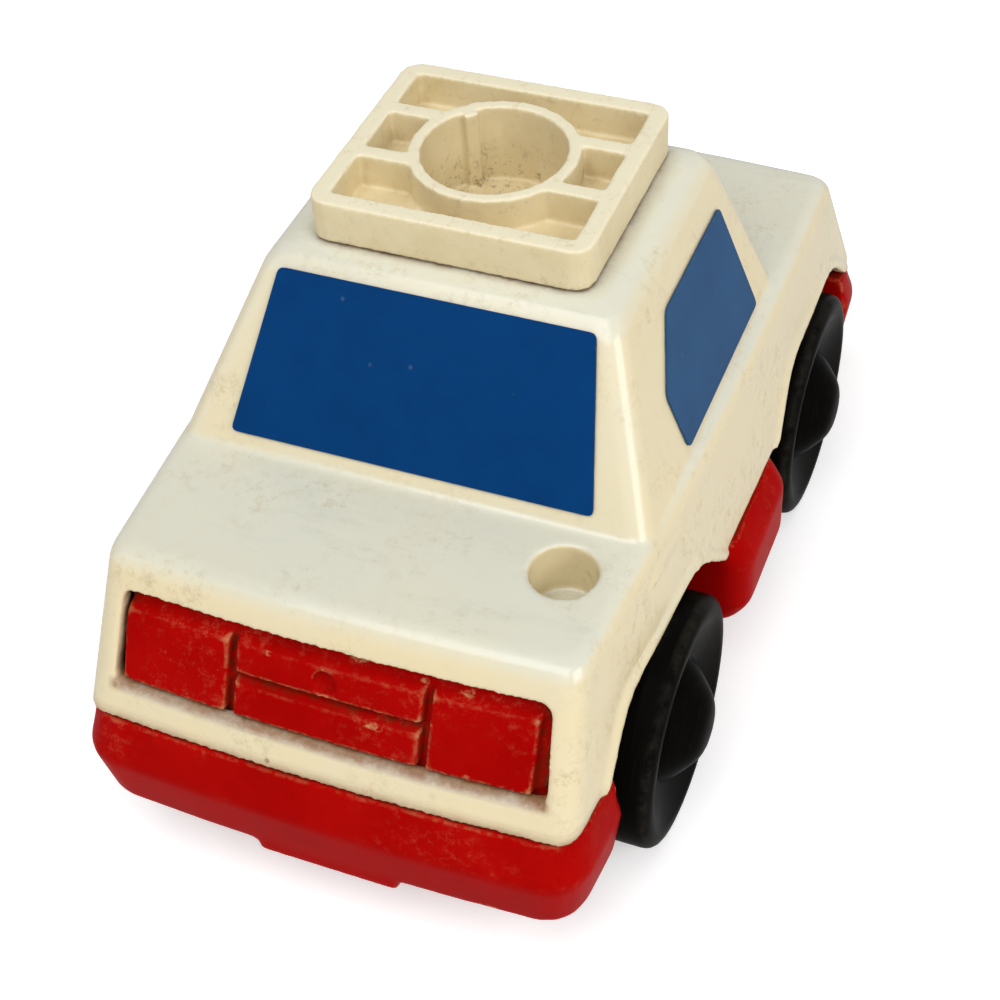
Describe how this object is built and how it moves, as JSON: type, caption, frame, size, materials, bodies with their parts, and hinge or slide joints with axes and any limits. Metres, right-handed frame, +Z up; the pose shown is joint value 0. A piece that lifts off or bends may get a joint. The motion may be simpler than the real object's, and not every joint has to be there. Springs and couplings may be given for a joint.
{
  "type": "toy police car",
  "caption": "Chunky moulded toy police car with a socketed roof tray for a lamp, tail lamp panel, wrap-round bumpers, side sills and rolling wheels on steel axles.",
  "frame": {"origin": "on the ground under the middle of the car's length and width", "axes": "+Z up, +Y towards the nose, +X towards the car's right side"},
  "size_m": [0.076, 0.1192, 0.0709],
  "materials": {
    "ivory_abs": "moulded, glossy, aged to ivory",
    "tray_abs": "moulded, dull, aged to beige",
    "red_abs": "moulded, satin, scuffed",
    "blue_label": "printed vinyl film",
    "black_polyethylene": "moulded, waxy gloss",
    "axle_steel": "bright drawn rod",
    "screw_steel": "zinc plated"
  },
  "bodies": {
    "car": {"body_shell": "ivory_abs", "roof_light_tray": "tray_abs", "chassis": "red_abs", "rear_window_label": "blue_label", "front_window_label": "blue_label", "left_window_label": "blue_label", "right_window_label": "blue_label", "rear_left_screw": "screw_steel", "rear_right_screw": "screw_steel", "front_left_screw": "screw_steel", "front_right_screw": "screw_steel"},
    "rear_wheelset": {"rear_axle": "axle_steel", "rear_left_wheel": "black_polyethylene", "rear_right_wheel": "black_polyethylene"},
    "front_wheelset": {"front_axle": "axle_steel", "front_left_wheel": "black_polyethylene", "front_right_wheel": "black_polyethylene"}
  },
  "joints": [
    {"name": "rear_wheels_roll", "type": "hinge", "parent": "car", "child": "rear_wheelset", "pos_m": [0, -0.02795, 0.0159], "axis": [1, 0, 0], "continuous": true},
    {"name": "front_wheels_roll", "type": "hinge", "parent": "car", "child": "front_wheelset", "pos_m": [0, 0.03245, 0.0159], "axis": [1, 0, 0], "continuous": true}
  ]
}
